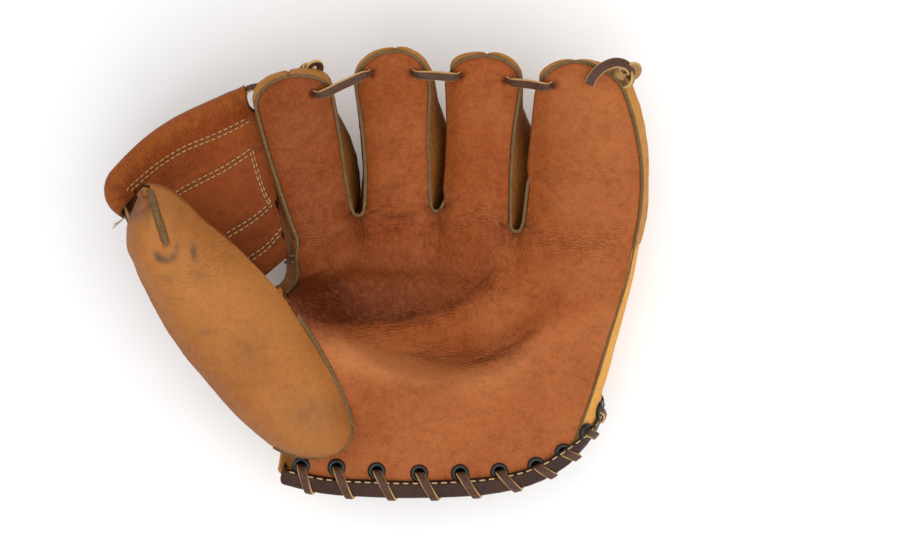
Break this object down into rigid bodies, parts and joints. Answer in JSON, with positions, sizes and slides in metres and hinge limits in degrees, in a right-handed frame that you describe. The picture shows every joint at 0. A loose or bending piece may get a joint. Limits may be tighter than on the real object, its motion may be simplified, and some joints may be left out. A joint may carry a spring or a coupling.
{
  "type": "fielding glove",
  "caption": "Leather fielding glove with separate welted finger stalls, a rolled web beside the thumb, a padded heel, a laced wrist edge and a snap strap.",
  "frame": {"origin": "middle of the bounding box on the plane that the back of the hand rests on", "axes": "+X from the thumb to the little finger, +Y to the fingertips, +Z out of the pocket"},
  "size_m": [0.2348, 0.1968, 0.1043],
  "materials": {
    "palm_leather": "oiled cowhide, worn satin, fine creases",
    "thumb_leather": "oiled cowhide, golden tan, worn satin",
    "back_leather": "cowhide, golden tan, satin",
    "web_leather": "cowhide, dark red brown, satin",
    "welt_leather": "raw cut edges, matt",
    "lace_leather": "rawhide thong, satin faces and pale cut edges",
    "binding_leather": "folded binding, smooth",
    "lining_leather": "thin lining leather, matt",
    "felt": "wool felt",
    "black_enamel": "black enamel, gloss"
  },
  "bodies": {
    "palm": {"palm_front": "palm_leather", "heel_pad": "felt", "palm_lining": "lining_leather", "little_side_welt": "welt_leather", "little_side_panel": "back_leather", "thumb_gusset": "back_leather", "hand_back": "back_leather", "thumb_side_panel": "back_leather", "thumb_side_ear": "back_leather", "eyelet_01": "black_enamel", "eyelet_02": "black_enamel", "eyelet_03": "black_enamel", "eyelet_04": "black_enamel", "eyelet_05": "black_enamel", "eyelet_06": "black_enamel", "eyelet_07": "black_enamel", "eyelet_08": "black_enamel", "eyelet_09": "black_enamel", "eyelet_10": "black_enamel", "heel_binding": "binding_leather", "heel_lace": "lace_leather", "snap_socket": "black_enamel"},
    "fingers": {"index_finger_front": "palm_leather", "middle_finger_front": "palm_leather", "ring_finger_front": "palm_leather", "little_finger_front": "palm_leather", "index_finger_back_thumb_side": "back_leather", "index_finger_back_little_side": "back_leather", "middle_finger_back_thumb_side": "back_leather", "middle_finger_back_little_side": "back_leather", "ring_finger_back_thumb_side": "back_leather", "ring_finger_back_little_side": "back_leather", "little_finger_back_thumb_side": "back_leather", "little_finger_back_little_side": "back_leather", "index_finger_welt": "welt_leather", "middle_finger_welt": "welt_leather", "ring_finger_welt": "welt_leather", "little_finger_welt": "welt_leather", "finger_lace": "lace_leather", "index_lace_knot": "lace_leather", "little_lace_knot": "lace_leather"},
    "thumb": {"thumb_front": "thumb_leather", "thumb_back_outer": "thumb_leather", "thumb_back_inner": "thumb_leather", "thumb_welt": "welt_leather"},
    "web": {"web_panel": "web_leather", "web_lace": "lace_leather"},
    "strap": {"wrist_strap": "back_leather", "snap_cap": "black_enamel"}
  },
  "joints": [
    {"name": "finger_fold", "type": "hinge", "parent": "palm", "child": "fingers", "pos_m": [0.03, 0.02, 0.061], "axis": [1, 0, 0], "range_deg": [0, 28], "stiffness_Nm_per_rad": 3},
    {"name": "thumb_fold", "type": "hinge", "parent": "palm", "child": "thumb", "pos_m": [-0.0195, -0.0328, 0.0676], "axis": [-0.5115, 0.8192, 0.2595], "range_deg": [0, 30], "stiffness_Nm_per_rad": 2},
    {"name": "web_fold", "type": "hinge", "parent": "fingers", "child": "web", "pos_m": [-0.0195, -0.0328, 0.0676], "axis": [-0.5115, 0.8192, 0.2595], "range_deg": [0, 30], "deforming": ["web_panel", "web_lace"]},
    {"name": "strap_open", "type": "hinge", "parent": "palm", "child": "strap", "pos_m": [0.0844, -0.0466, 0.0084], "axis": [0.3914, -0.9202, 0], "range_deg": [0, 80]}
  ],
  "couplings": [
    {"joint": "web_fold", "follows": "thumb_fold", "ratio": 1}
  ]
}
